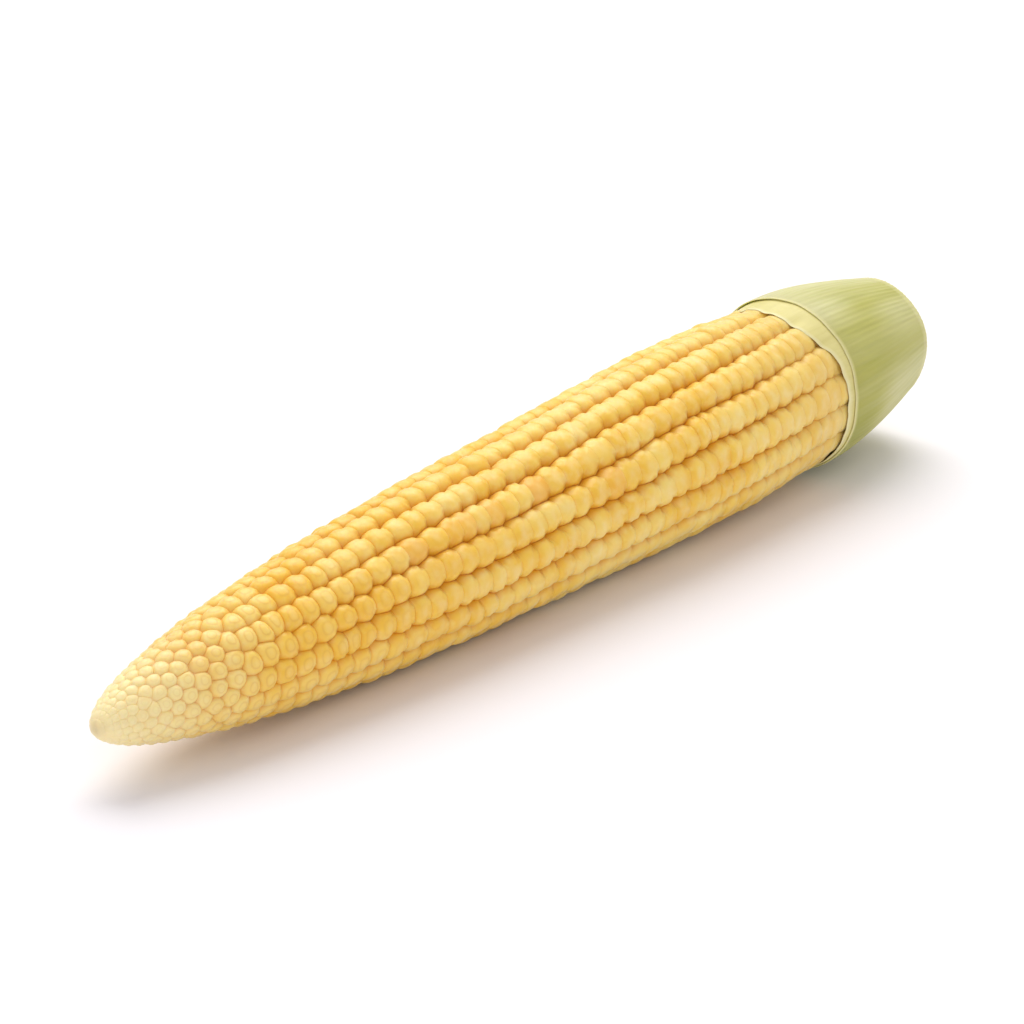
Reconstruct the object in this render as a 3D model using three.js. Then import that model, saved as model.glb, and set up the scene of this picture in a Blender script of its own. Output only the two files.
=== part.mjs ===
// Trimmed baby corn lying on its side: the ear, the stubs of two husk leaves around its base, and the cut shank.
// Millimetres, +Z up. +X runs along the ear, from its tip to the cut end.

import * as THREE from 'three';

// Lengths along the ear. "At" values count from the tip.
const EXPOSED_LENGTH = 86.5; // from the tip to the rim of the outer husk
const STUB_LENGTH = 13; // from that rim to the cut end
const TAPER_LENGTH = 55; // the pointed part, as a half ellipse
const BELLY_TO_RIM = 14.5; // the thickest place is this far before the rim
const SWELL_LENGTH = 27; // over which the ear thickens towards that place
const INNER_HUSK_STANDS_OUT = 1.8; // how far the inner leaf reaches past the outer one
const COB_IN_HUSK = 3.5; // how far the cob reaches into the husk
const RESTS_AT = 40; // forward place where the lying ear touches the ground
const PRESSED_FLAT = 0.15; // how much the kernels under the ear are pressed in where it lies on them

// Radii, measured over the crowns of the kernels or on the outside of a layer
const SHOULDER_RADIUS = 7.35; // where the taper ends
const BELLY_RADIUS = 8; // at the thickest place
const SEAT_RADIUS = 6.4; // the bare cob where it enters the husk
const SHANK_CUT_RADIUS = 4; // the shank at the cut end
const HUSK_ROUNDING = 1.6; // 1 is a straight cone, more is a rounder sleeve

// Kernels
const ROWS = 16;
const ROW_GROOVE = 0.75; // depth between rows, at the belly
const KERNEL_GROOVE = 0.4; // depth between kernels of one row, at the belly
const KERNELS_STAND_OUT = 1.2; // height of the last kernels above the bare cob
const TIP_KERNEL_SHAPE = 0.95; // length over width of a kernel near the tip
const LAST_KERNEL_SHAPE = 0.5; // length over width of a kernel at the husk
const TIP_CAP = 0.7; // smooth end before the first kernels

// Husk leaves
const OUTER_HUSK_THICKNESS = 0.45;
const INNER_HUSK_THICKNESS = 0.35;
const CLEARANCE = 0.3; // between neighbouring pieces

// Facets
const HUSK_SIDES = 40;
const HUSK_STEPS = 6;
const TIP_CAP_STEPS = 2;
const COB_STEPS = 3;

const length = EXPOSED_LENGTH + STUB_LENGTH;
const bellyAt = EXPOSED_LENGTH - BELLY_TO_RIM;
const innerHuskAt = EXPOSED_LENGTH - INNER_HUSK_STANDS_OUT;
const kernelsEndAt = innerHuskAt - CLEARANCE;
const cobEndAt = EXPOSED_LENGTH + COB_IN_HUSK;
const lastKernelRadius = SEAT_RADIUS + KERNELS_STAND_OUT;

const ease = (value, start, end) => THREE.MathUtils.smoothstep(value, start, end);

// Radius over the kernel crowns: an elliptical taper that swells to the belly and falls a little to the husk.
function crownRadius(at) {
  const left = 1 - Math.min(at, TAPER_LENGTH) / TAPER_LENGTH;
  const taper = SHOULDER_RADIUS * Math.sqrt(1 - left ** 2);
  const swell = (BELLY_RADIUS - SHOULDER_RADIUS) * ease(at, bellyAt - SWELL_LENGTH, bellyAt);
  const fall = (BELLY_RADIUS - lastKernelRadius) * ease(at, bellyAt, kernelsEndAt);
  return taper + swell - fall;
}

// Outside of the cob and shank within the husk. Every husk surface is this one moved outwards.
function coreRadius(at) {
  const along = THREE.MathUtils.clamp((at - EXPOSED_LENGTH) / STUB_LENGTH, 0, 1);
  return SEAT_RADIUS - (SEAT_RADIUS - SHANK_CUT_RADIUS) * along ** HUSK_ROUNDING;
}

// Half a kernel's length. Kernels are round near the tip and flat like stacked coins at the husk.
function halfKernel(at) {
  const shape = THREE.MathUtils.lerp(TIP_KERNEL_SHAPE, LAST_KERNEL_SHAPE, at / kernelsEndAt);
  return (Math.PI * crownRadius(at) / ROWS) * shape;
}

// Places of the kernel crowns and the grooves between them, by turns, from the tip to the last kernels.
function kernelStations() {
  const stations = [TIP_CAP];
  while (stations.at(-1) < kernelsEndAt) {
    stations.push(stations.at(-1) + halfKernel(stations.at(-1)));
  }
  const stretch = (kernelsEndAt - TIP_CAP) / (stations.at(-1) - TIP_CAP);
  return stations.map((at) => TIP_CAP + (at - TIP_CAP) * stretch);
}

// Evenly spaced points (radius, place along the ear) on a curve of revolution.
function profileCurve(radiusAt, start, end, steps) {
  const points = [];
  for (let i = 0; i <= steps; i += 1) {
    const at = THREE.MathUtils.lerp(start, end, i / steps);
    points.push(new THREE.Vector2(radiusAt(at), at));
  }
  return points;
}

// Turns a profile about the ear's own axis, which is +X.
function turn(profile, sides) {
  return new THREE.LatheGeometry(profile, sides).rotateZ(-Math.PI / 2);
}

// Depth of the kernel pattern under the crowns, for one vertex of the turned ear.
function grooveDepth(station, column) {
  const onRow = column % 2 === 1;
  if (!onRow) {
    return ROW_GROOVE;
  }
  const pair = Math.floor((column + 1) / 4);
  return (station + pair) % 2 === 0 ? 0 : KERNEL_GROOVE;
}

// The cob with its rows of kernels. Rows grow in pairs: the two of a pair are in step, and neighbouring pairs
// are half a kernel out of step. The ear lies on one pair.
function makeEar() {
  const stations = kernelStations();
  const tip = profileCurve(crownRadius, 0, TIP_CAP, TIP_CAP_STEPS).slice(0, -1);
  const kernels = stations.slice(0, -1).map((at) => new THREE.Vector2(crownRadius(at), at));
  const cob = profileCurve(coreRadius, kernelsEndAt, cobEndAt, COB_STEPS);
  const profile = [...tip, ...kernels, ...cob, new THREE.Vector2(0, cobEndAt)];
  const columns = 2 * ROWS;
  const geometry = turn(profile, columns);
  const position = geometry.getAttribute('position');
  for (let column = 0; column <= columns; column += 1) {
    for (let station = 0; station < kernels.length; station += 1) {
      const vertex = column * profile.length + tip.length + station;
      const crown = kernels[station].x;
      const depth = grooveDepth(station, column) * (crown / BELLY_RADIUS);
      const scale = (crown - depth) / crown;
      position.setY(vertex, position.getY(vertex) * scale);
      position.setZ(vertex, position.getZ(vertex) * scale);
    }
  }
  return geometry;
}

// A husk leaf stub: an open sleeve that follows the cob and shank at a distance.
function makeHuskLeaf(inside, thickness, startsAt) {
  const inner = profileCurve((at) => coreRadius(at) + inside, startsAt, length, HUSK_STEPS);
  const outer = profileCurve((at) => coreRadius(at) + inside + thickness, startsAt, length, HUSK_STEPS);
  return turn([...outer, ...inner.reverse(), outer[0]], HUSK_SIDES);
}

function makeShank() {
  const startsAt = cobEndAt + CLEARANCE;
  const side = profileCurve(coreRadius, startsAt, length, HUSK_STEPS);
  const profile = [new THREE.Vector2(0, startsAt), ...side, new THREE.Vector2(0, length)];
  return turn(profile, HUSK_SIDES);
}

function addPiece(name, geometry, color, roughness) {
  const material = new THREE.MeshStandardMaterial({ color, roughness, metalness: 0 });
  const piece = new THREE.Mesh(geometry, material);
  piece.name = name;
  babyCorn.add(piece);
}

// Levels the underside of a piece to a plane this far above its lowest point.
function pressFlat(piece, amount) {
  piece.updateWorldMatrix(true, false);
  const ground = new THREE.Box3().setFromObject(piece, true).min.z + amount;
  const position = piece.geometry.getAttribute('position');
  const point = new THREE.Vector3();
  for (let i = 0; i < position.count; i += 1) {
    piece.localToWorld(point.fromBufferAttribute(position, i));
    point.z = Math.max(point.z, ground);
    piece.worldToLocal(point);
    position.setXYZ(i, point.x, point.y, point.z);
  }
}

const innerHuskInside = CLEARANCE;
const outerHuskInside = innerHuskInside + INNER_HUSK_THICKNESS + CLEARANCE;

const babyCorn = new THREE.Group();
addPiece('ear', makeEar(), '#e9c25f', 0.45);
addPiece('inner_husk', makeHuskLeaf(innerHuskInside, INNER_HUSK_THICKNESS, innerHuskAt), '#dcd59a', 0.5);
addPiece('outer_husk', makeHuskLeaf(outerHuskInside, OUTER_HUSK_THICKNESS, EXPOSED_LENGTH), '#b9b567', 0.5);
addPiece('shank', makeShank(), '#d9d8a6', 0.7);

// The ear lies on its belly and on its shoulder, so it is tilted until both touch the ground.
const drop = crownRadius(bellyAt) - crownRadius(RESTS_AT);
babyCorn.rotation.y = -Math.atan2(drop, bellyAt - RESTS_AT);
pressFlat(babyCorn.getObjectByName('ear'), PRESSED_FLAT);

// The origin is at the centre of the ground under the object.
const box = new THREE.Box3().setFromObject(babyCorn, true);
const centre = box.getCenter(new THREE.Vector3());
babyCorn.position.set(-centre.x, -centre.y, -box.min.z);

export default babyCorn;
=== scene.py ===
import functools
import math
import random

import bpy
import numpy as np
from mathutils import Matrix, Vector


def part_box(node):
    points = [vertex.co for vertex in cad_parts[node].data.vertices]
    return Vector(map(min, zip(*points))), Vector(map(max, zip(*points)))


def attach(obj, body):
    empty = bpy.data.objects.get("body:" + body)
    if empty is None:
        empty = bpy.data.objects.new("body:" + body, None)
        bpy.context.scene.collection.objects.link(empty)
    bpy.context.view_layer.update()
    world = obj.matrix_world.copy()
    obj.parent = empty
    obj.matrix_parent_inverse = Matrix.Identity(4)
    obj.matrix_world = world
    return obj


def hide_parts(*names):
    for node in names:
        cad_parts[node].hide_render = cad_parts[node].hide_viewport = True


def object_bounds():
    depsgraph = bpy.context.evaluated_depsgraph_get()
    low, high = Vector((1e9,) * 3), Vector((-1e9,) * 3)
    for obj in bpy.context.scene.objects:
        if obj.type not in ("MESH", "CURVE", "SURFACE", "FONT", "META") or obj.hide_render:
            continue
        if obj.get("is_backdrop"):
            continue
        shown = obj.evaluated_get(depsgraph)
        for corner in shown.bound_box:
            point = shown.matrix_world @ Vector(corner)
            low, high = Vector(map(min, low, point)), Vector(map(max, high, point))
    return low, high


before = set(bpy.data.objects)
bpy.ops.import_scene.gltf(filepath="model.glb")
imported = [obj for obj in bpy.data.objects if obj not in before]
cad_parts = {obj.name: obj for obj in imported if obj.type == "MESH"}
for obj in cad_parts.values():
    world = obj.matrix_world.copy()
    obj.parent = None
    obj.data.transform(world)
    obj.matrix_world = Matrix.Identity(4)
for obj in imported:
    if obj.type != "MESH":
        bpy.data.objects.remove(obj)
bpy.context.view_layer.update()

bl_info = {
    "name": "Baby Corn",
    "version": (1, 0, 0),
    "blender": (4, 5, 0),
    "location": "View3D > Sidebar > Baby Corn",
    "description": "Builds the looks of a trimmed baby corn: ear, husk leaf stubs, cut shank and stage",
    "category": "Object",
}

MM = 0.001
TURN = 2 * math.pi

# Places along the ear, in millimetres from the tip. Angles round it, in degrees, count from +Y towards
# the top.
TAPER_LENGTH = 55
SHOULDER_RADIUS = 7.35
BELLY_AT = 72
BELLY_RADIUS = 8
SWELL_LENGTH = 27
INNER_RIM_AT = 85  # rim of the inner husk leaf, about
HUSK_AT = 86.4  # rim of the outer husk leaf
LAST_KERNELS_AT = 88.2
COB_ENDS_AT = 90.2
CUT_AT = 99.5
FRONT = 143.4  # the side that is seen best
HIDDEN = FRONT - 180

# How the kernel crowns fall away under the husk: (place, how far under the belly)
CROWN_FALL = (
    (72, 0), (77, 0.09), (80, 0.25), (82.5, 0.43), (84.5, 0.57), (86.5, 0.72), (88.5, 0.95), (92, 1.4),
)
# Length of a kernel along its row: (place, length)
KERNEL_PITCH = (
    (10, 1.55), (16, 1.75), (24, 1.92), (34, 2.0), (54, 1.94), (66, 1.8), (76, 1.6), (88, 1.45),
)
# Outside of the outer husk leaf: (place, radius)
HUSK_PROFILE = (
    (84, 7.72), (86.5, 7.72), (88, 7.66), (90, 7.46), (93, 6.97), (96, 6.3), (98.2, 5.72), (99.6, 5.36),
)
HUSK_RADIUS = 7.0  # a mean, to lay the leaves out flat
SHANK_GAP = 0.27  # between the inner husk leaf and the shank

ROWS_TURNED = 8.4  # degrees from the frame's rows
TWIST_STARTS_AT = 45
TWIST_PER_MM = -0.23  # degrees
TIP_CAP = 0.4  # bare end before the first kernels
TIP_CROWD_ENDS = 13.0  # nearer the tip than this the kernels stand in no rows
# Distance between the kernels of the crowd: (place, distance)
CROWD_PITCH = ((0, 0.72), (4, 1.02), (8, 1.32), (13, 1.62), (20, 1.8))
CROWD_ROUNDS = 160  # how often the kernels of the crowd push each other
CROWD_PUSH = 0.22  # share of an overlap that one push takes away
CROWD_REACH = 1.12  # how far a kernel pushes, in distances
IN_CROWD = -1  # stands for the row of a kernel that is in none
OFF_TIP, OFF_HUSK = -1, -2  # what lies beyond the first and the last kernels
SHORT_KERNELS, SHORT_LENGTH = 0.05, 0.72  # share of stunted kernels, and their length as a share
NEIGHBOURS = 34  # how many kernels round one may cut its cell

WIDEST_KERNEL = 2.9
# Depths of grooves as a share of a kernel's width
CROWD_GROOVE, FIRST_ROW_GROOVE = 0.18, 0.19
CORNER_GROOVE, CORNER_DEEPENS = 0.27, 0.09
DEEPEST_GROOVE = 0.36
FLOOR_GAP = 0.01  # keeps the underside out of the plane of the floor

# Kernels with an orange tint: (place along the ear, degrees round it)
ORANGE_KERNELS = ((33, 130), (38, 131), (42, 131), (47, 131), (56, 153))

CAMERA_LENS = 235
SENSOR = 36
FLOOR_SIDES = 48
FLOOR_RADII = (0.3, 1.0, 4.0)  # metres


# ---------------------------------------------------------------- settings


class BabyCornSettings(bpy.types.PropertyGroup):
    """Sizes and counts of the baby corn and its stage."""

    seed: bpy.props.IntProperty(
        name="Seed", description="Start of every random choice", default=11, min=0
    )
    rows: bpy.props.IntProperty(
        name="Rows", description="Rows of kernels round the cob", default=16, min=8, max=24
    )
    unevenness: bpy.props.FloatProperty(
        name="Unevenness", description="How much kernels differ in length", default=0.14,
        min=0, max=0.4, subtype="FACTOR",
    )
    row_groove: bpy.props.FloatProperty(
        name="Row groove", description="Depth between rows as a share of a kernel's width",
        default=0.265, min=0, max=0.6, subtype="FACTOR",
    )
    kernel_groove: bpy.props.FloatProperty(
        name="Kernel groove",
        description="Depth between kernels of one row, by the husk, as a share of their width",
        default=0.05, min=0, max=0.6, subtype="FACTOR",
    )
    bow: bpy.props.FloatProperty(
        name="Bow", description="How far the middle of the ear stands out of line",
        default=0.0002, min=0, unit="LENGTH",
    )
    husk_thickness: bpy.props.FloatProperty(
        name="Husk thickness", description="Thickness of the outer leaf stub at its rim",
        default=0.00011, min=0.00005, unit="LENGTH",
    )
    inner_husk_thickness: bpy.props.FloatProperty(
        name="Inner husk thickness", description="Thickness of the inner leaf stub at its rim",
        default=0.00008, min=0.00005, unit="LENGTH",
    )
    veins: bpy.props.IntProperty(
        name="Veins", description="Lengthwise veins round a husk leaf", default=88, min=10
    )
    camera_azimuth: bpy.props.FloatProperty(
        name="Camera azimuth", description="Turn of the camera round the ear",
        default=math.radians(-49.7), subtype="ANGLE",
    )
    camera_elevation: bpy.props.FloatProperty(
        name="Camera elevation", description="Height of the camera above the horizon",
        default=math.radians(23), subtype="ANGLE",
    )
    camera_distance: bpy.props.FloatProperty(
        name="Camera distance", description="From the middle of the ear", default=0.55,
        min=0.1, unit="LENGTH",
    )


# ---------------------------------------------------------------- the ear's own frame


def smooth(value, start, end):
    share = np.clip((np.asarray(value, float) - start) / (end - start), 0, 1)
    return share * share * (3 - 2 * share)


def along_table(at, table):
    """Value at a place from (place, value) pairs, without corners at the pairs."""
    places, values = np.array(table, float).T
    slopes = np.gradient(values, places)
    at = np.clip(np.asarray(at, float), places[0], places[-1])
    k = np.clip(np.searchsorted(places, at) - 1, 0, len(places) - 2)
    step = places[k + 1] - places[k]
    u = (at - places[k]) / step
    return (
        (2 * u**3 - 3 * u**2 + 1) * values[k]
        + (u**3 - 2 * u**2 + u) * step * slopes[k]
        + (3 * u**2 - 2 * u**3) * values[k + 1]
        + (u**3 - u**2) * step * slopes[k + 1]
    )


def crown_radius(at):
    at = np.asarray(at, float)
    left = 1 - np.clip(at, 0, TAPER_LENGTH) / TAPER_LENGTH
    taper = SHOULDER_RADIUS * np.sqrt(np.maximum(1 - left**2, 0))
    swell = (BELLY_RADIUS - SHOULDER_RADIUS) * smooth(at, BELLY_AT - SWELL_LENGTH, BELLY_AT)
    return taper + swell - along_table(at, CROWN_FALL)


class EarSpace:
    """Turns (place along the ear, radius, angle round it) into points of the row frame, in metres."""

    def __init__(self, bow):
        ear = vertices_of("ear")
        shank = vertices_of("shank")
        self.tip = ear[ear[:, 0].argmin()]
        line = shank.mean(0) - self.tip
        line[1] = 0
        self.tip[1] = 0
        self.ahead = line / np.linalg.norm(line)
        self.side = np.array((0.0, 1.0, 0.0))
        self.up = np.cross(self.ahead, self.side)
        self.bow = bow

    def points(self, at, radius, angle):
        at, radius, angle = np.broadcast_arrays(
            np.asarray(at, float), np.asarray(radius, float), np.asarray(angle, float)
        )
        middle = CUT_AT / 2
        bowed = self.bow * (1 - ((at - middle) / middle) ** 2) - self.bow / 2
        out = (
            self.tip
            + at[..., None] * MM * self.ahead
            + (radius * np.cos(angle) * MM)[..., None] * self.side
            + (radius * np.sin(angle) * MM)[..., None] * self.up
        )
        return out - bowed[..., None] * self.side


def vertices_of(node):
    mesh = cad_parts[node].data
    co = np.zeros(len(mesh.vertices) * 3)
    mesh.vertices.foreach_get("co", co)
    return co.reshape(-1, 3)


def settings():
    return bpy.context.scene.baby_corn


# ---------------------------------------------------------------- meshes


def new_piece(name, points, faces, smooth_shading=True):
    mesh = bpy.data.meshes.new(name)
    mesh.from_pydata([tuple(p) for p in points], [], faces)
    mesh.validate()
    mesh.polygons.foreach_set("use_smooth", [smooth_shading] * len(mesh.polygons))
    mesh.update()
    piece = bpy.data.objects.new(name, mesh)
    bpy.context.scene.collection.objects.link(piece)
    return piece


def store(piece, name, values, kind="FLOAT"):
    attribute = piece.data.attributes.new(name, kind, "POINT")
    field = "vector" if kind == "FLOAT_VECTOR" else "value"
    attribute.data.foreach_set(field, np.asarray(values, np.float32).ravel())


def sharpen(piece, is_sharp):
    """Marks the edges whose two vertices are both true in is_sharp."""
    mesh = piece.data
    ends = np.zeros(len(mesh.edges) * 2, np.int64)
    mesh.edges.foreach_get("vertices", ends)
    both = np.asarray(is_sharp)[ends.reshape(-1, 2)].all(1)
    attribute = mesh.attributes.new("sharp_edge", "BOOLEAN", "EDGE")
    attribute.data.foreach_set("value", both)


# ---------------------------------------------------------------- kernels


class Unrolled:
    """The ear's surface laid flat without bending any angle: x is the angle round it, y grows with the
    place along it."""

    STEP = 0.02

    def __init__(self):
        self.places = np.concatenate((np.linspace(0.02, 8, 800), np.linspace(8.02, 95, 1600)))
        radii = crown_radius(self.places)
        steps = np.diff(self.places) / (0.5 * (radii[1:] + radii[:-1]))
        self.heights = np.concatenate(((0,), np.cumsum(steps)))
        self.crowns = crown_radius(np.arange(0, 96, self.STEP)).tolist()

    def y(self, at):
        return np.interp(at, self.places, self.heights)

    def at(self, y):
        return np.interp(y, self.heights, self.places)

    def crown(self, at):
        """Crown radius at one place, from a fine table."""
        k = int(at / self.STEP)
        low, high = self.crowns[k], self.crowns[k + 1]
        return low + (at / self.STEP - k) * (high - low)


def wave(rng, count, strength):
    """A slow random wobble along the ear."""
    parts = [(rng.uniform(0, TURN), rng.uniform(14, 45), rng.uniform(0.4, 1)) for _ in range(count)]
    total = sum(p[2] for p in parts)
    return lambda at: strength * sum(a * math.sin(s + TURN * at / l) for s, l, a in parts) / total


def kernel_sites(rows, unevenness, flat, rng):
    """Middles of the kernels as (x, y, row)."""
    sites = []
    for row in range(rows):
        wobble = wave(rng, 3, math.radians(1.6))
        at = TIP_CROWD_ENDS + rng.uniform(0, 1.6)
        while at < LAST_KERNELS_AT - 0.4:
            twist = math.radians(TWIST_PER_MM) * max(0, at - TWIST_STARTS_AT)
            angle = TURN * (row + 0.5) / rows + math.radians(ROWS_TURNED) + twist + wobble(at)
            loose = 1 + 1.6 * (1 - float(smooth(at, TIP_CROWD_ENDS, 26)))
            angle += rng.gauss(0, 0.028 * loose) * TURN / rows
            sites.append((angle % TURN, float(flat.y(at)), row))
            pitch = float(along_table(at, KERNEL_PITCH))
            stretch = 1 + unevenness * max(-2, min(2, rng.gauss(0, 1)))
            if rng.random() < SHORT_KERNELS:
                stretch *= SHORT_LENGTH
            at += pitch * stretch
    return sites + tip_crowd(sites, flat, rng)


def tip_crowd(sites, flat, rng):
    """Kernels near the tip push each other apart until they are evenly spread."""
    fixed = np.array([s[:2] for s in sites if flat.at(s[1]) < TIP_CROWD_ENDS + 5])
    places = np.linspace(TIP_CAP, TIP_CROWD_ENDS, 60)
    room = crown_radius(places) / along_table(places, CROWD_PITCH) ** 2
    count = int(TURN * room.mean() * (TIP_CROWD_ENDS - TIP_CAP) / 0.90)
    share = np.cumsum(room)
    share /= share[-1]
    x = np.array([rng.uniform(0, TURN) for _ in range(count)])
    y = flat.y(np.interp([rng.random() for _ in range(count)], share, places))
    low = float(flat.y(TIP_CAP + 0.35))
    for _ in range(CROWD_ROUNDS):
        all_x = np.concatenate((x, fixed[:, 0]))
        all_y = np.concatenate((y, fixed[:, 1]))
        dx = x[:, None] - all_x[None, :]
        dx = (dx + math.pi) % TURN - math.pi
        dy = y[:, None] - all_y[None, :]
        gap = np.sqrt(dx**2 + dy**2) + 1e-9
        at = flat.at(y)
        size = along_table(at, CROWD_PITCH) / crown_radius(at)
        push = np.maximum(size[:, None] * CROWD_REACH - gap, 0)
        push[np.arange(count), np.arange(count)] = 0
        x = (x + CROWD_PUSH * (push * dx / gap).sum(1)) % TURN
        y = np.maximum(y + CROWD_PUSH * (push * dy / gap).sum(1), low)
    return [(float(a), float(b), IN_CROWD) for a, b in zip(x, y)]


def clip_cell(y, near, low, high):
    """Part of the unrolled surface that is nearer to one kernel's middle, at y, than to its neighbours.
    Corners are relative to that middle; each goes with the neighbour beyond the edge that starts there."""
    wide = 1.6  # radians, more than any cell is wide
    low, high = low - y, high - y
    cell = [(-wide, low, OFF_TIP), (wide, low, None), (wide, high, OFF_HUSK), (-wide, high, None)]
    for dx, dy, other in near:
        limit = (dx * dx + dy * dy) / 2
        kept = []
        for k, (px, py, label) in enumerate(cell):
            qx, qy, _ = cell[(k + 1) % len(cell)]
            here, there = px * dx + py * dy - limit, qx * dx + qy * dy - limit
            if here <= 0:
                kept.append((px, py, label))
            if (here <= 0) != (there <= 0):
                u = here / (here - there)
                label = other if here <= 0 else label
                kept.append((px + u * (qx - px), py + u * (qy - py), label))
        cell = kept
    return cell


def cells_of(sites, flat):
    xs, ys = np.array([s[0] for s in sites]), np.array([s[1] for s in sites])
    low, high = float(flat.y(TIP_CAP)), float(flat.y(LAST_KERNELS_AT))
    cells = []
    for i in range(len(sites)):
        dx = (xs - xs[i] + math.pi) % TURN - math.pi
        dy = ys - ys[i]
        gap = dx * dx + dy * dy
        order = [j for j in np.argsort(gap)[:NEIGHBOURS] if j != i]
        near = [(float(dx[j]), float(dy[j]), int(j)) for j in order]
        cells.append(clip_cell(ys[i], near, low, high))
    return cells


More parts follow.
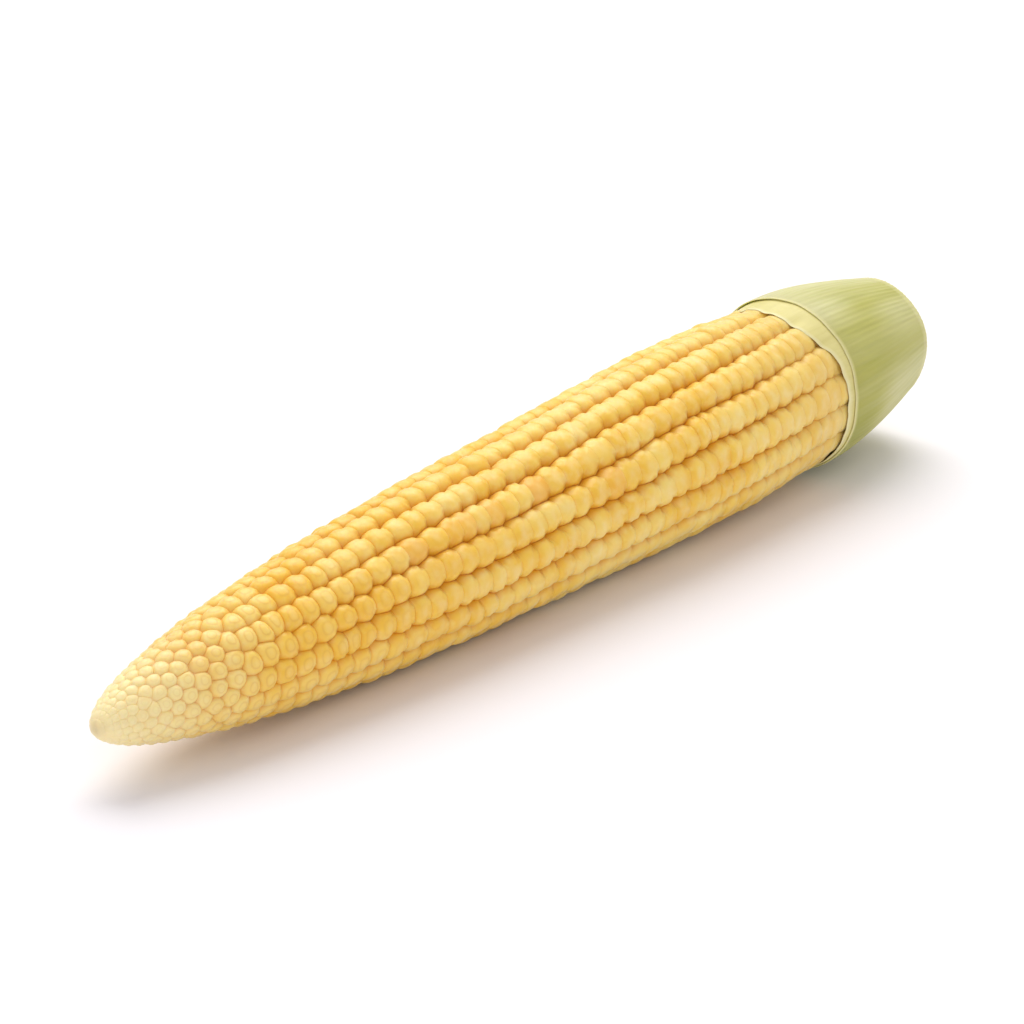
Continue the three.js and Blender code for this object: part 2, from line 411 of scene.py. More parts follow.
class EarMesh:
    """Grows the closed mesh of the ear: rounded kernels in their cells, the tip cap, the base in the husk."""

    RINGS = (0.96, 0.87, 0.73, 0.52, 0.27)

    def __init__(self, space, flat, sites, groove, rng):
        self.space, self.flat, self.sites = space, flat, sites
        self.row_groove, self.kernel_groove = groove
        self.rng = rng
        self.rows = max(s[2] for s in sites) + 1
        self.at, self.radius, self.angle = [], [], []
        self.tone, self.warmth, self.crease, self.gap_shade = [], [], [], []
        self.corner_of, self.edge_of = {}, {}
        self.faces = []

    def width(self, at):
        return min(TURN * self.flat.crown(at) / self.rows, WIDEST_KERNEL)

    def add(self, at, radius, angle, tone=0.5, warmth=0.0, crease=1.0, gap_shade=0.0):
        for values, value in zip(
            (self.at, self.radius, self.angle, self.tone, self.warmth, self.crease, self.gap_shade),
            (at, radius, angle, tone, warmth, crease, gap_shade),
        ):
            values.append(value)
        return len(self.at) - 1

    def add_flat(self, x, y, depth):
        at = float(self.flat.at(y))
        return self.add(at, self.flat.crown(at) - depth, x)

    def shallow(self, at):
        """Grooves are shallower on the tiny kernels at the tip."""
        return 0.75 + 0.25 * float(smooth(at, 1.5, 7))

    def pressed(self, at):
        """By the rim of the husk the kernels have been pressed flatter."""
        return 1 - 0.45 * float(smooth(at, 76, 85))

    def corner_depth(self, at):
        share = CORNER_GROOVE + CORNER_DEEPENS * float(smooth(at, 11, 34))
        return share * self.width(at) * self.shallow(at) * self.pressed(at)

    def corner(self, i, before, after, x, y):
        key = frozenset((i, before, after))
        if key not in self.corner_of:
            at = float(self.flat.at(y))
            self.corner_of[key] = self.add_flat(x, y, self.corner_depth(at))
        return key, self.corner_of[key]

    def edge(self, i, other, start, end, start_xy, end_xy):
        """Vertices between two corners, shared by the two cells that meet there."""
        key = frozenset((start, end))
        if key not in self.edge_of:
            (ax, ay), (bx, by) = start_xy, end_xy
            at = float(self.flat.at((ay + by) / 2))
            width = self.width(at)
            length = math.hypot(bx - ax, by - ay) * self.flat.crown(at)
            count = max(0, round(length / (0.24 + 0.085 * width)) - 1)
            depth = self.groove(i, other, at) * width * self.shallow(at)
            corner = self.corner_depth(at)
            between = []
            for k in range(count):
                u = (k + 1) / (count + 1)
                y = ay + u * (by - ay)
                deep = depth + (corner - depth) * abs(2 * u - 1) ** 3.5
                between.append(self.add_flat(ax + u * (bx - ax), y, deep))
            self.edge_of[key] = (start, between)
        first, between = self.edge_of[key]
        return between if first == start else between[::-1]

    def groove(self, i, other, at):
        """Depth between kernel i and the other, as a share of their width."""
        if other < 0:
            return CROWD_GROOVE
        row, other_row = self.sites[i][2], self.sites[other][2]
        if IN_CROWD in (row, other_row):
            return CROWD_GROOVE
        first, last, grown_at = FIRST_ROW_GROOVE, self.row_groove, 36
        if row == other_row:
            first, last, grown_at = CROWD_GROOVE, self.kernel_groove, 44
        return self.pressed(at) * (first + (last - first) * float(smooth(at, 14, grown_at)))

    def add_kernel(self, i, cell):
        x, y, _ = self.sites[i]
        corners = [(x + px, y + py) for px, py, _ in cell]
        labels = [label for _, _, label in cell]
        keys = [self.corner(i, labels[k - 1], labels[k], *corners[k]) for k in range(len(cell))]
        outline, rim = [], []
        for k, label in enumerate(labels):
            n = (k + 1) % len(cell)
            between = self.edge(i, label, keys[k][0], keys[n][0], corners[k], corners[n])
            count = len(between) + 1
            for j, vertex in enumerate([keys[k][1], *between]):
                u = j / count
                outline.append(
                    (corners[k][0] + u * (corners[n][0] - corners[k][0]),
                     corners[k][1] + u * (corners[n][1] - corners[k][1]))
                )
                rim.append(vertex)
        self.cap_kernel(np.array(corners), np.array(outline), rim)

    def cap_kernel(self, corners, outline, rim):
        """Rings from the outline to the middle, rounder than the cell and domed."""
        nxt = np.roll(corners, -1, 0)
        cross = corners[:, 0] * nxt[:, 1] - nxt[:, 0] * corners[:, 1]
        middle = ((corners + nxt) * cross[:, None]).sum(0) / (3 * cross.sum())
        side = nxt - corners
        normal = np.stack((side[:, 1], -side[:, 0]), 1)
        normal /= np.linalg.norm(normal, axis=1)[:, None] + 1e-12
        reach = ((corners - middle) * normal).sum(1)
        arm = outline - middle
        share = np.maximum(arm @ normal.T, 0) / np.maximum(reach, 1e-6)
        at = float(self.flat.at(middle[1]))
        squareness = 2.9 + 1.3 * float(smooth(at, 12, 40))
        gauge = (share**squareness).sum(1) ** (1 / squareness)
        scale = float(crown_radius(at))
        width = self.width(at)
        rng = self.rng
        tone = min(1, max(0, rng.gauss(0.5, 0.22)))
        warmth = self.orange(at, middle[0])
        # Painted shade: some kernels by the husk get dark specks deep in their corners, for the shadow in the
        # gaps.
        gap_shade = 0.0
        if at > 82.6 and rng.random() < 0.4:
            gap_shade = rng.uniform(0.3, 0.9)
        lift = rng.gauss(0, 0.055) * self.shallow(at) * width / WIDEST_KERNEL
        lean = np.array((rng.gauss(0, 0.035), rng.gauss(0, 0.05) - 0.06))
        rim_depth = np.array([self.flat.crown(self.at[v]) - self.radius[v] for v in rim], float)
        ringed = 0.05 * (1 - float(smooth(at, 18, 40))) * self.shallow(at)
        last = rim
        count = len(rim)
        for ring in self.RINGS:
            squeeze = ring + (1 / gauge - 1) * ring * (1 - ring**9)
            at_ring = middle + arm * squeeze[:, None]
            dome = 1 - (1 - ring**2.6) ** 0.55
            evened = 0.22 * (1 - ring**4)
            depth = dome * (rim_depth * (1 - evened) + rim_depth.mean() * evened)
            depth += ringed * math.exp(-(((ring - 0.5) / 0.12) ** 2))
            raised = (1 - ring**3) * (lift + ((at_ring - middle) * scale) @ lean)
            places = self.flat.at(at_ring[:, 1])
            radii = crown_radius(places) - depth + raised
            fresh = [
                self.add(float(a), float(r), float(x), tone, warmth, ring, gap_shade)
                for a, r, x in zip(places, radii, at_ring[:, 0])
            ]
            for k in range(count):
                n = (k + 1) % count
                self.faces.append((last[k], last[n], fresh[n], fresh[k]))
            last = fresh
        dimple = 0.022 * width
        top = self.add(at, scale + lift - dimple, float(middle[0]), tone, warmth, 0.0, gap_shade)
        for k in range(count):
            self.faces.append((last[k], last[(k + 1) % count], top))

    def orange(self, at, angle):
        for place, degrees in ORANGE_KERNELS:
            away = (angle - math.radians(degrees) + math.pi) % TURN - math.pi
            if abs(at - place) < 1.1 and abs(away) < math.radians(10):
                return self.rng.uniform(0.55, 1)
        return 0.0

    def boundary(self, place):
        """Vertices on the first or last line of kernels, in order round the ear."""
        found = [k for k in range(len(self.at)) if abs(self.at[k] - place) < 1e-4]
        return sorted(found, key=lambda k: self.angle[k] % TURN)

    def close_tip(self):
        last = self.boundary(TIP_CAP)
        for share in (0.93, 0.8, 0.62, 0.4, 0.2):
            fresh = []
            for v in last:
                angle = self.angle[v]
                radius = share * float(crown_radius(TIP_CAP))
                left = math.sqrt(max(0, 1 - (radius / SHOULDER_RADIUS) ** 2))
                at = TAPER_LENGTH * (1 - left)
                rough = 0.05 * math.sin(5 * angle + 9 * share) * math.sin(3 * angle + 1)
                at += 0.12 * (1 - share) * rough * 4
                fresh.append(self.add(at, radius * (1 + rough), angle, crease=0.5))
            self.bridge(fresh, last)
            last = fresh
        pole = self.add(0.06, 0.0, 0.0, crease=0.5)
        count = len(last)
        for k in range(count):
            self.faces.append((last[(k + 1) % count], last[k], pole))

    def close_base(self):
        last = self.boundary(LAST_KERNELS_AT)
        base = ((LAST_KERNELS_AT + 0.25, 6.0), (89.3, 5.7), (COB_ENDS_AT, 5.2), (COB_ENDS_AT, 2.6))
        for at, radius in base:
            fresh = [self.add(at, radius, self.angle[v], crease=0.6) for v in last]
            self.bridge(last, fresh)
            last = fresh
        pole = self.add(COB_ENDS_AT, 0.0, 0.0, crease=0.6)
        count = len(last)
        for k in range(count):
            self.faces.append((last[k], last[(k + 1) % count], pole))

    def bridge(self, low, high):
        count = len(low)
        for k in range(count):
            n = (k + 1) % count
            self.faces.append((low[k], low[n], high[n], high[k]))

    def piece(self):
        at, radius = np.array(self.at), np.array(self.radius)
        points = self.space.points(at, radius, self.angle)
        # Like the frame's ear, it is level along the line it lies on.
        points[:, 2] = np.maximum(points[:, 2], frame_ground() + FLOOR_GAP * MM)
        made = new_piece("kernels_and_cob", points, self.faces)
        store(made, "kernel_tone", self.tone)
        store(made, "kernel_warmth", self.warmth)
        store(made, "crease", self.crease)
        width = np.minimum(TURN * crown_radius(at) / self.rows, WIDEST_KERNEL)
        depth = (crown_radius(at) - radius) / (DEEPEST_GROOVE * width + 1e-3)
        store(made, "depth", np.clip(depth, 0, 1))
        store(made, "gap_shade", self.gap_shade)
        store(made, "along", at / CUT_AT)
        sharpen(made, np.array(self.crease) >= 0.999)
        return made


def frame_ground():
    return min(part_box(name)[0].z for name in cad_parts)


# ---------------------------------------------------------------- leaves


def leaf_piece(name, space, outside, thickness, starts, ends, wrap, overlap, columns, steps=22):
    """A closed leaf stub wrapped round the ear.
    outside(at, angle) is its outer radius, thickness(at) its thickness, starts(angle) and ends(angle) its
    rims, wrap its first and last angle, overlap how far its first margin is tucked in and its last lifted."""
    first, last = wrap
    tuck, lift = overlap
    doubled = last - first - TURN
    angles = np.linspace(first, last, columns)
    share = np.linspace(0, 1, steps)
    eased = share + 0.35 * (share**2 - share)
    tucked = tuck * (1 - smooth(angles, first + 0.9 * doubled, first + doubled + 1.2))
    lifted = lift * smooth(angles, last - doubled - 1.2, last - 0.9 * doubled)
    thin = 0.4 + 0.6 * smooth(angles, first, first + 0.5) * (1 - smooth(angles, last - 0.35, last))
    begin = np.array([starts(a) for a in angles])
    finish = np.array([ends(a) for a in angles])
    at = begin[:, None] + (finish - begin)[:, None] * eased[None, :]
    wide = np.repeat(angles[:, None], steps, 1)
    outer = outside(at, wide) + (lifted - tucked)[:, None]
    inner = outer - thickness(at) * thin[:, None]
    # A line of vertices before the rim rounds it.
    lip_at = at[:, :1] - 0.06
    lip = outer[:, :1] * 0.62 + inner[:, :1] * 0.38
    columns_at = np.concatenate((at, at[:, ::-1], lip_at), 1)
    columns_radius = np.concatenate((outer, inner[:, ::-1], lip), 1)
    columns_angle = np.repeat(angles[:, None], columns_at.shape[1], 1)
    points = space.points(columns_at, columns_radius, columns_angle).reshape(-1, 3)
    loop = columns_at.shape[1]
    faces = []
    for c in range(columns - 1):
        for k in range(loop):
            n = (k + 1) % loop
            faces.append((c * loop + k, (c + 1) * loop + k, (c + 1) * loop + n, c * loop + n))
    start_cap = list(range(loop))
    end_cap = [(columns - 1) * loop + k for k in range(loop)]
    faces += strip_cap(start_cap, steps, False) + strip_cap(end_cap, steps, True)
    piece = new_piece(name, points, faces)
    place = np.stack((columns_angle * HUSK_RADIUS * MM, columns_at * MM, np.zeros_like(columns_at)), 2)
    store(piece, "leaf_place", place, "FLOAT_VECTOR")
    inside = np.concatenate((np.zeros_like(at), np.ones_like(at), np.full_like(lip_at, 0.5)), 1)
    store(piece, "inside", inside)
    store(piece, "from_rim", columns_at - begin[:, None])
    store(piece, "to_cut", finish[:, None] - columns_at)
    return piece, columns_at, columns_angle


def strip_cap(loop, steps, turned):
    """Quads over the end of a flat closed loop whose outer side has `steps` points and inner side as many."""
    faces = []
    outer = loop[:steps]
    inner = loop[steps : 2 * steps][::-1]
    lip = loop[2 * steps]
    for k in range(steps - 1):
        faces.append((outer[k], outer[k + 1], inner[k + 1], inner[k]))
    faces.append((lip, outer[0], inner[0]))
    return [f[::-1] for f in faces] if turned else faces


def bump(angle, middle, width):
    """1 at the middle angle, falling to 0 over the width. All in degrees but the first."""
    away = (np.asarray(angle) - math.radians(middle) + math.pi) % TURN - math.pi
    return np.exp(-((away / math.radians(width)) ** 2))


def cut_place(angle, radius_share=1.0):
    """Where the knife went through, which is nearly straight."""
    return CUT_AT - 0.1 + 0.12 * radius_share * np.cos(np.asarray(angle) - 1.9)


def outer_thickness(s, at):
    """The outer leaf is sharp at its rim and gets fleshier towards the shank."""
    return s.husk_thickness / MM + 0.14 * smooth(at, 86.8, 89) + 0.23 * smooth(at, 90, 99)


def inner_thickness(s, at):
    return s.inner_husk_thickness / MM + 0.3 * smooth(at, 90, 99)


def outer_rim(angle):
    wavy = 0.10 * np.sin(3 * angle + 0.6) + 0.06 * np.sin(7 * angle + 2) + 0.02 * np.sin(19 * angle)
    return HUSK_AT - 0.35 * (1 - bump(angle, FRONT - 5, 80)) + wavy


def inner_rim(angle):
    ragged = 0.07 * np.sin(5 * angle + 1) + 0.04 * np.sin(13 * angle) + 0.025 * np.sin(31 * angle + 1)
    return 85.55 - 1.0 * bump(angle, FRONT - 24, 22) - 2.0 * bump(angle, FRONT - 62, 36) + ragged


# ---------------------------------------------------------------- materials


MIX, RAMP, MATH, NOISE = "ShaderNodeMix", "ShaderNodeValToRGB", "ShaderNodeMath", "ShaderNodeTexNoise"
ATTRIBUTE, SURFACE = "ShaderNodeAttribute", "ShaderNodeBsdfPrincipled"
OUTPUT = "ShaderNodeOutputMaterial"


def linear(hex_colour):
    parts = [int(hex_colour[k : k + 2], 16) / 255 for k in (1, 3, 5)]
    return tuple(c / 12.92 if c <= 0.04045 else ((c + 0.055) / 1.055) ** 2.4 for c in parts) + (1,)


def add(tree, kind, inputs=None, output=0, stops=(), **values):
    """Adds a node and gives back one of its outputs. Inputs that are sockets are linked, others are set, and
    text is a colour in hex. Stops are a ramp's (place, grey) pairs; values are the node's own settings."""
    node = tree.nodes.new(kind)
    for name, value in values.items():
        setattr(node, name, value)
    if stops:
        elements = node.color_ramp.elements
        while len(elements) < len(stops):
            elements.new(0.5)
        for element, (place, grey) in zip(elements, stops):
            element.position = place
            element.color = (grey, grey, grey, 1)
    for name, value in (inputs or {}).items():
        if isinstance(value, bpy.types.NodeSocket):
            tree.links.new(value, node.inputs[name])
        else:
            node.inputs[name].default_value = linear(value) if isinstance(value, str) else value
    return node.outputs[output] if node.outputs else None


def new_material(name):
    """The material, and the function that adds nodes to it."""
    material = bpy.data.materials.new(name)
    material.use_nodes = True
    material.node_tree.nodes.clear()
    return material, functools.partial(add, material.node_tree)


def layered(put, body, *layers):
    """Lays colours over the body, one after another. A layer is its colour and its masks, whose product says
    how much of it shows. A mask is (socket, stops), or (socket, None) where it is used as it is."""
    for colour, *masks in layers:
        shown = None
        for socket, stops in masks:
            mask = put(RAMP, {"Fac": socket}, stops=stops) if stops else socket
            shown = mask if shown is None else put(MATH, {0: shown, 1: mask}, operation="MULTIPLY")
        body = put(MIX, {0: shown, 6: body, 7: colour}, 2, data_type="RGBA")
    return body


def kernel_skin():
    """Thin, waxy skin over milky kernels that light goes into: soft shading, dull shine, and painted
    shade and highlights: creases painted a darker amber, crowns painted paler.
    """
    material, put = new_material("waxy_kernel_skin")
    tone, warmth, crease, depth, along, gap_shade = (
        put(ATTRIBUTE, output="Fac", attribute_name=name)
        for name in ("kernel_tone", "kernel_warmth", "crease", "depth", "along", "gap_shade")
    )
    at = put("ShaderNodeTexCoord", output="Object")
    # Clouds of ripeness are 6 mm across and the grain of the skin is 0.7 mm; pale specks 1.1 mm apart are
    # painted highlights, standing in for small glints.
    mottle, grain, painted_glints = (
        put(NOISE, {"Vector": at, "Scale": 1 / size, "Detail": detail})
        for size, detail in ((6 * MM, 3.0), (0.7 * MM, 2.0), (1.1 * MM, 4.0))
    )
    body = layered(
        put, "#F7D052",
        # Kernels of one ear differ a little in ripeness.
        ("#F1C440", (tone, None)),
        ("#EDB63E", (mottle, ((0.42, 0.35), (0.58, 0)))),
        ("#F9DF8C", (mottle, ((0.45, 0), (0.72, 0.7)))),
        # Painted highlights: pale specks stand in for small glints.
        ("#FBEBB8", (painted_glints, ((0.46, 0), (0.72, 0.3)))),
        ("#EC9E2C", (warmth, None), (0.5, None)),
        # Painted highlight: the crown of each kernel is painted paler.
        ("#F9E09A", (crease, ((0.0, 0.4), (0.3, 0.15), (0.6, 0)))),
        # Half way along the taper the kernels are the ripest.
        ("#F9C038", (along, ((0.08, 0), (0.2, 0.3), (0.4, 0.15), (0.6, 0)))),
        # A faint ring is left where the crown of a young kernel has sunk in.
        ("#D9A440", (crease, ((0.36, 0), (0.5, 0.4), (0.64, 0))), (along, ((0.15, 1), (0.4, 0)))),
        # Painted shade: creases are painted a darker amber, the more the deeper they are.
        ("#E2A220", (depth, ((0.25, 0), (0.6, 0.55), (0.95, 0.95)))),
        # The tip has hardly any kernels yet and is the pale cob itself.
        ("#FBEBB8", (along, ((0.005, 0.9), (0.04, 0.65), (0.10, 0.25), (0.16, 0)))),
        # Beside the husk the kernels stayed covered longest and are paler.
        ("#E9D48C", (along, ((0.72, 0), (0.86, 0.4)))),
        # The very end has withered.
        ("#B8A67E", (along, ((0.0, 0.8), (0.005, 0))), (grain, None)),
        # Painted shade: small dark specks deep between the last kernels stand in for the shadow in the gaps
        # by the husk.
        ("#7A5A2C", (gap_shade, None), (depth, ((0.62, 0), (0.85, 1)))),
    )
    rough = put(RAMP, {"Fac": grain}, stops=((0.3, 0.34), (0.7, 0.48)))
    relief = put("ShaderNodeBump", {"Strength": 0.4, "Distance": 0.1 * MM, "Height": grain})
    surface = {
        "Base Color": body, "Roughness": rough, "IOR": 1.42, "Subsurface Weight": 0.5,
        "Subsurface Radius": (1.0, 0.85, 0.4), "Subsurface Scale": MM,
        "Specular IOR Level": 0.6, "Sheen Weight": 0.12, "Sheen Roughness": 0.4, "Normal": relief,
    }
    put(OUTPUT, {"Surface": put(SURFACE, surface)})
    return material


def husk_leaf(name, green, pale_and_lit, deep, rim, see_through):
    """Young husk leaf, cut with a knife: thin, wet tissue with fine parallel veins, matt and a little
    see-through."""
    material, put = new_material(name)
    paleness_and_light, shade, cut_edge = (
        put(ATTRIBUTE, output="Fac", attribute_name=mark) for mark in ("paleness_and_light", "shade", "cut_edge")
    )
    place = put(ATTRIBUTE, output="Vector", attribute_name="leaf_place")
    # Veins are 0.55 mm apart and broad streaks 3.2 mm, both drawn out along the leaf.
    streaks = put("ShaderNodeMapping", {"Vector": place, "Scale": (1, 0.07, 1)})
    fine, broad = (
        put(NOISE, {"Vector": streaks, "Scale": 1 / size, "Detail": detail})
        for size, detail in ((0.55 * MM, 3.0), (3.2 * MM, 2.0))
    )
    body = layered(
        put, green,
        # Pale bands; on the outer leaf also a painted highlight on the top and a painted reflection low on
        # the front.
        (pale_and_lit, (paleness_and_light, None)),
        (pale_and_lit, (broad, ((0.38, 0), (0.70, 0.4)))),
        (deep, (fine, ((0.32, 0.2), (0.56, 0)))),
        # Painted shade, low on the outer leaf by its rim.
        (deep, (shade, None)),
        # Cut tissue and the inner side of a leaf have no green.
        (rim, (cut_edge, None)),
    )
    relief = put("ShaderNodeBump", {"Strength": 0.35, "Distance": 0.05 * MM, "Height": fine})
    surface = {
        "Base Color": body, "Roughness": 0.47, "IOR": 1.4, "Subsurface Weight": see_through,
        "Subsurface Radius": (0.8, 1.0, 0.35), "Subsurface Scale": 0.7 * MM,
        "Specular IOR Level": 0.4, "Normal": relief,
    }
    put(OUTPUT, {"Surface": put(SURFACE, surface)})
    return material


def cut_pith():
    """Shank cut across: damp cream pith with darker fibre ends, browning at the rind."""
    material, put = new_material("cut_pith")
    place = put(ATTRIBUTE, output="Vector", attribute_name="leaf_place")
    rind = put(ATTRIBUTE, output="Fac", attribute_name="rind")
    fibres = put(
        "ShaderNodeTexVoronoi", {"Vector": place, "Scale": 1 / (0.75 * MM), "Randomness": 0.9}, "Distance"
    )
    cloud = put(NOISE, {"Vector": place, "Scale": 1 / (3 * MM), "Detail": 3.0})
    body = layered(
        put, "#E9E4BC",
        ("#D9D59C", (cloud, None)),
        ("#A9A062", (fibres, ((0.10, 0.6), (0.28, 0)))),
        ("#B5AE62", (rind, None)),
    )
    relief = put("ShaderNodeBump", {"Strength": 0.5, "Distance": 0.1 * MM, "Height": fibres})
    surface = {
        "Base Color": body, "Roughness": 0.55, "IOR": 1.4, "Subsurface Weight": 0.3,
        "Subsurface Radius": (1.0, 0.8, 0.4), "Subsurface Scale": MM, "Normal": relief,
    }
    put(OUTPUT, {"Surface": put(SURFACE, surface)})
    return material


def studio_paper():
    """Matt white paper with the faint unevenness of paper."""
    material, put = new_material("studio_paper")
    at = put("ShaderNodeTexCoord", output="Object")
    cloud = put(NOISE, {"Vector": at, "Scale": 2.0, "Detail": 2.0})
    body = layered(put, "#F0EEF2", ("#F4F2F6", (cloud, None)))
    surface = {"Base Color": body, "Roughness": 0.9, "Specular IOR Level": 0.1}
    put(OUTPUT, {"Surface": put(SURFACE, surface)})
    return material


# ---------------------------------------------------------------- operators


class BABYCORN_OT_ear(bpy.types.Operator):
    """Build the cob with its kernels"""

    bl_idname = "babycorn.ear"
    bl_label = "Ear"

    def execute(self, context):
        s = settings()
        rng = random.Random(s.seed)
        flat = Unrolled()
        sites = kernel_sites(s.rows, s.unevenness, flat, rng)
        grown = EarMesh(EarSpace(s.bow), flat, sites, (s.row_groove, s.kernel_groove), rng)
        for i, cell in enumerate(cells_of(sites, flat)):
            if len(cell) < 3:
                raise RuntimeError("a kernel has no room")
            grown.add_kernel(i, cell)
        grown.close_tip()
        grown.close_base()
        piece = grown.piece()
        piece.data.materials.append(kernel_skin())
        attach(piece, "root")
        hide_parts("ear")
        return {"FINISHED"}


class BABYCORN_OT_husk(bpy.types.Operator):
    """Build the stubs of the inner and the outer husk leaf"""

    bl_idname = "babycorn.husk"
    bl_label = "Husk leaves"

    def execute(self, context):
        s = settings()
        space = EarSpace(s.bow)
        self.outer(s, space)
        self.inner(s, space)
        return {"FINISHED"}

    def outer(self, s, space):
        def outside(at, angle):
            vein = 0.014 * np.cos(s.veins * angle) + 0.009 * np.cos(0.37 * s.veins * angle + 1)
            swell = 0.10 * np.sin(3 * angle + 0.4) * smooth(at, 88, 96)
            swell += 0.05 * np.sin(5 * angle) * smooth(at, 90, 99)
            return along_table(at, HUSK_PROFILE) + vein * smooth(at, 86.2, 88) + swell

        thickness = functools.partial(outer_thickness, s)
        wrap = (math.radians(HIDDEN - 30), math.radians(HIDDEN + 10) + TURN)
        piece, at, angle = leaf_piece(
            "outer_husk_leaf", space, outside, thickness, outer_rim, cut_place, wrap, (0, 0.2), 620
        )
        # Pale bands run along it. Part of its paleness is painted light: the top is painted paler as a
        # painted highlight, and a pale patch low on the front towards the cut is a painted reflection of the
        # floor.
        pale_and_lit = 0.75 * bump(angle, FRONT - 75, 30) + 0.55 * bump(angle, FRONT + 48, 22) * smooth(at, 89, 94)
        band = bump(angle, FRONT - 30, 14) * (1 - smooth(at, 88, 93))
        band += bump(angle, FRONT - 10, 14) * smooth(at, 91, 97)
        pale_and_lit = np.clip(pale_and_lit + 0.6 * band, 0, 1)
        # Painted shade: the leaf is darker low on its front side, by its rim.
        shade = 0.5 * bump(angle, FRONT + 62, 20) * (1 - smooth(at, 87, 92))
        self.paint(piece, pale_and_lit, shade, 1.0)
        piece.data.materials.append(
            husk_leaf("green_husk_leaf", "#B3B152", "#DCD9A6", "#8C9034", "#E3DD9E", 0.3)
        )
        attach(piece, "root")
        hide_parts("outer_husk")

    def inner(self, s, space):
        def outside(at, angle):
            # It follows the rows it lies on and, under the outer leaf, that leaf.
            rows_turned = ROWS_TURNED + TWIST_PER_MM * (INNER_RIM_AT - TWIST_STARTS_AT)
            rows = 0.5 - 0.5 * np.cos(s.rows * (angle - math.radians(rows_turned)))
            over_kernels = crown_radius(at) + 0.02 + inner_thickness(s, at) - 0.16 * (1 - rows) ** 2
            under_leaf = along_table(at, HUSK_PROFILE) - outer_thickness(s, at) - 0.012
            deep = smooth(at, 84.6, 86.3)
            return over_kernels * (1 - deep) + under_leaf * deep

        thickness = functools.partial(inner_thickness, s)
        wrap = (math.radians(FRONT - 120), math.radians(FRONT - 95) + TURN)
        piece, at, angle = leaf_piece(
            "inner_husk_leaf", space, outside, thickness, inner_rim, cut_place, wrap, (0.11, 0), 360
        )
        self.paint(piece, np.full_like(at, 0.5), np.zeros_like(at), 0.5)
        piece.data.materials.append(
            husk_leaf("cream_husk_leaf", "#DACF7C", "#E9E09C", "#BEB35C", "#EFE8B0", 0.12)
        )
        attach(piece, "root")
        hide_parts("inner_husk")

    def paint(self, piece, paleness_and_light, shade, edge_width):
        count = len(piece.data.vertices)
        inside, from_rim, to_cut = (np.zeros(count, np.float32) for _ in range(3))
        for name, values in (("inside", inside), ("from_rim", from_rim), ("to_cut", to_cut)):
            piece.data.attributes[name].data.foreach_get("value", values)
        near_rim = 1 - smooth(from_rim, 0.05, 0.30 * edge_width)
        near_cut = 0.8 * (1 - smooth(to_cut, 0.0, 0.25))
        cut_edge = np.clip(np.maximum(np.maximum(inside, near_rim), near_cut), 0, 1)
        store(piece, "paleness_and_light", paleness_and_light)
        store(piece, "shade", shade)
        store(piece, "cut_edge", cut_edge)


class BABYCORN_OT_shank(bpy.types.Operator):
    """Build the cut shank inside the husk leaves"""

    bl_idname = "babycorn.shank"
    bl_label = "Shank"

    COLUMNS = 96
    FACE_RINGS = (1.0, 0.985, 0.955, 0.92, 0.88, 0.82, 0.72, 0.6, 0.48, 0.36, 0.24, 0.12)

    def execute(self, context):
        s = settings()
        space = EarSpace(s.bow)

        def side_radius(at):
            leaves = outer_thickness(s, at) + inner_thickness(s, at)
            return float(along_table(at, HUSK_PROFILE) - leaves - SHANK_GAP)

        angles = np.linspace(0, TURN, self.COLUMNS, endpoint=False)
        side = np.linspace(COB_ENDS_AT + 0.25, CUT_AT - 0.25, 14)
        rings = [(side[0], side_radius(side[0]) * share, 1) for share in (0.35, 0.7)]
        rings += [(at, side_radius(at), 1) for at in side]
        edge = side_radius(CUT_AT)
        for share in self.FACE_RINGS:
            groove = 0.16 * math.exp(-(((share - 0.90) / 0.025) ** 2))
            ripple = 0.05 * np.sin(4 * angles + 7 * share) * share
            at = cut_place(angles, share) + 0.02 - groove - 0.10 * (share > 0.995) + ripple - 0.05
            rings.append((at, edge * share, float(smooth(share, 0.84, 0.93))))
        at, radius, rind = (
            np.array([np.broadcast_to(ring[k], angles.shape) for ring in rings], float) for k in range(3)
        )
        wide = np.repeat(angles[None, :], len(at), 0)
        points = space.points(at, radius, wide).reshape(-1, 3)
        ends = space.points([side[0], CUT_AT - 0.12], [0.0, 0.0], [0.0, 0.0])
        back, face = len(points), len(points) + 1
        points = np.concatenate((points, ends))
        faces = self.ring_faces(len(at), back, face)
        piece = new_piece("cut_shank", points, faces)
        flat = np.stack((radius * np.cos(wide), radius * np.sin(wide), 0.12 * at), 2).reshape(-1, 3) * MM
        flat = np.concatenate((flat, [(0, 0, 0), (0, 0, 0.12 * CUT_AT * MM)]))
        store(piece, "leaf_place", flat, "FLOAT_VECTOR")
        store(piece, "rind", np.concatenate((rind.ravel() * 0.7, (1, 0))))
        piece.data.materials.append(cut_pith())
        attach(piece, "root")
        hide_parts("shank")
        return {"FINISHED"}

    def ring_faces(self, rings, back, face):
        """Quads between the rings, and triangles to the middles of the back and of the cut face."""
        faces = []
        sides = [(c, (c + 1) % self.COLUMNS) for c in range(self.COLUMNS)]
        top = (rings - 1) * self.COLUMNS
        for low in range(0, top, self.COLUMNS):
            high = low + self.COLUMNS
            faces += [(low + c, low + n, high + n, high + c) for c, n in sides]
        for c, n in sides:
            faces += [(n, c, back), (top + c, top + n, face)]
        return faces


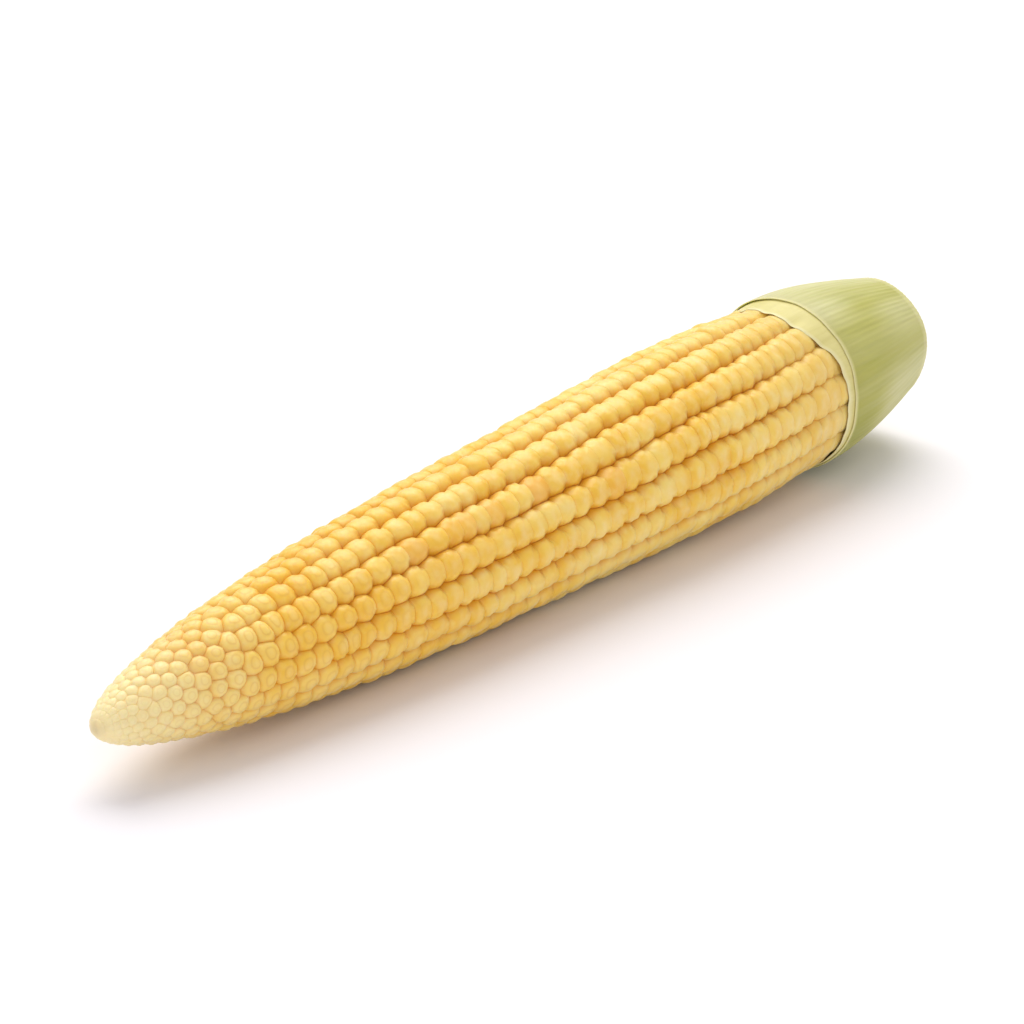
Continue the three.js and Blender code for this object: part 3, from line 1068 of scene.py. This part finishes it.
class BABYCORN_OT_stage(bpy.types.Operator):
    """Set up the floor, the lights and the camera"""

    bl_idname = "babycorn.stage"
    bl_label = "Stage"

    def execute(self, context):
        s = settings()
        scene = context.scene
        low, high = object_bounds()
        middle = (low + high) / 2
        self.floor()
        self.world(scene)
        self.light("overhead_softbox", middle, (0.45, 0.45, 1.0), 1.2, 11.5)
        self.light("front_fill", middle, (-0.9, -0.9, 0.9), 1.0, 2.5)
        self.camera(scene, s, middle)
        scene.view_settings.view_transform = "Standard"
        scene.view_settings.look = "None"
        return {"FINISHED"}

    def floor(self):
        angles = [TURN * k / FLOOR_SIDES for k in range(FLOOR_SIDES)]
        points = [(0, 0, 0)]
        points += [(r * math.cos(a), r * math.sin(a), 0) for r in FLOOR_RADII for a in angles]
        faces = []
        for k in range(FLOOR_SIDES):
            n = (k + 1) % FLOOR_SIDES
            faces.append((0, 1 + k, 1 + n))
            for ring in range(len(FLOOR_RADII) - 1):
                a, b = 1 + FLOOR_SIDES * ring, 1 + FLOOR_SIDES * (ring + 1)
                faces.append((a + k, b + k, b + n, a + n))
        floor = new_piece("floor", points, faces, False)
        floor.data.materials.append(studio_paper())
        floor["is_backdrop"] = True

    def world(self, scene):
        world = bpy.data.worlds.new("studio")
        world.use_nodes = True
        background = world.node_tree.nodes["Background"]
        background.inputs["Color"].default_value = linear("#FDFBFF")
        background.inputs["Strength"].default_value = 0.66
        scene.world = world

    def light(self, name, middle, direction, size, power):
        lamp = bpy.data.lights.new(name, "AREA")
        lamp.shape, lamp.size, lamp.energy = "DISK", size, power
        lamp.color = linear("#FFFDF8")[:3]
        place = bpy.data.objects.new(name, lamp)
        place.location = middle + Vector(direction)
        place.rotation_euler = (-Vector(direction)).to_track_quat("-Z", "Y").to_euler()
        bpy.context.scene.collection.objects.link(place)

    def camera(self, scene, s, middle):
        turn, rise = s.camera_azimuth, s.camera_elevation
        back = Vector((math.sin(turn) * math.cos(rise), -math.cos(turn) * math.cos(rise), math.sin(rise)))
        camera = bpy.data.cameras.new("camera")
        camera.lens, camera.sensor_width = CAMERA_LENS, SENSOR
        camera.clip_start, camera.clip_end = 0.01, 20
        place = bpy.data.objects.new("camera", camera)
        place.location = middle + back * s.camera_distance
        place.rotation_euler = (-back).to_track_quat("-Z", "Y").to_euler()
        scene.collection.objects.link(place)
        scene.camera = place


class BABYCORN_PT_panel(bpy.types.Panel):
    """Buttons for each piece of the baby corn"""

    bl_label = "Baby Corn"
    bl_idname = "BABYCORN_PT_panel"
    bl_space_type = "VIEW_3D"
    bl_region_type = "UI"
    bl_category = "Baby Corn"

    def draw(self, context):
        for operator in (BABYCORN_OT_ear, BABYCORN_OT_husk, BABYCORN_OT_shank, BABYCORN_OT_stage):
            self.layout.operator(operator.bl_idname)


CLASSES = (
    BabyCornSettings,
    BABYCORN_OT_ear,
    BABYCORN_OT_husk,
    BABYCORN_OT_shank,
    BABYCORN_OT_stage,
    BABYCORN_PT_panel,
)


def register():
    for cls in CLASSES:
        bpy.utils.register_class(cls)
    bpy.types.Scene.baby_corn = bpy.props.PointerProperty(type=BabyCornSettings)


def unregister():
    del bpy.types.Scene.baby_corn
    for cls in reversed(CLASSES):
        bpy.utils.unregister_class(cls)


def main():
    register()
    bpy.ops.babycorn.ear()
    bpy.ops.babycorn.husk()
    bpy.ops.babycorn.shank()
    bpy.ops.babycorn.stage()


if __name__ == "__main__":
    main()
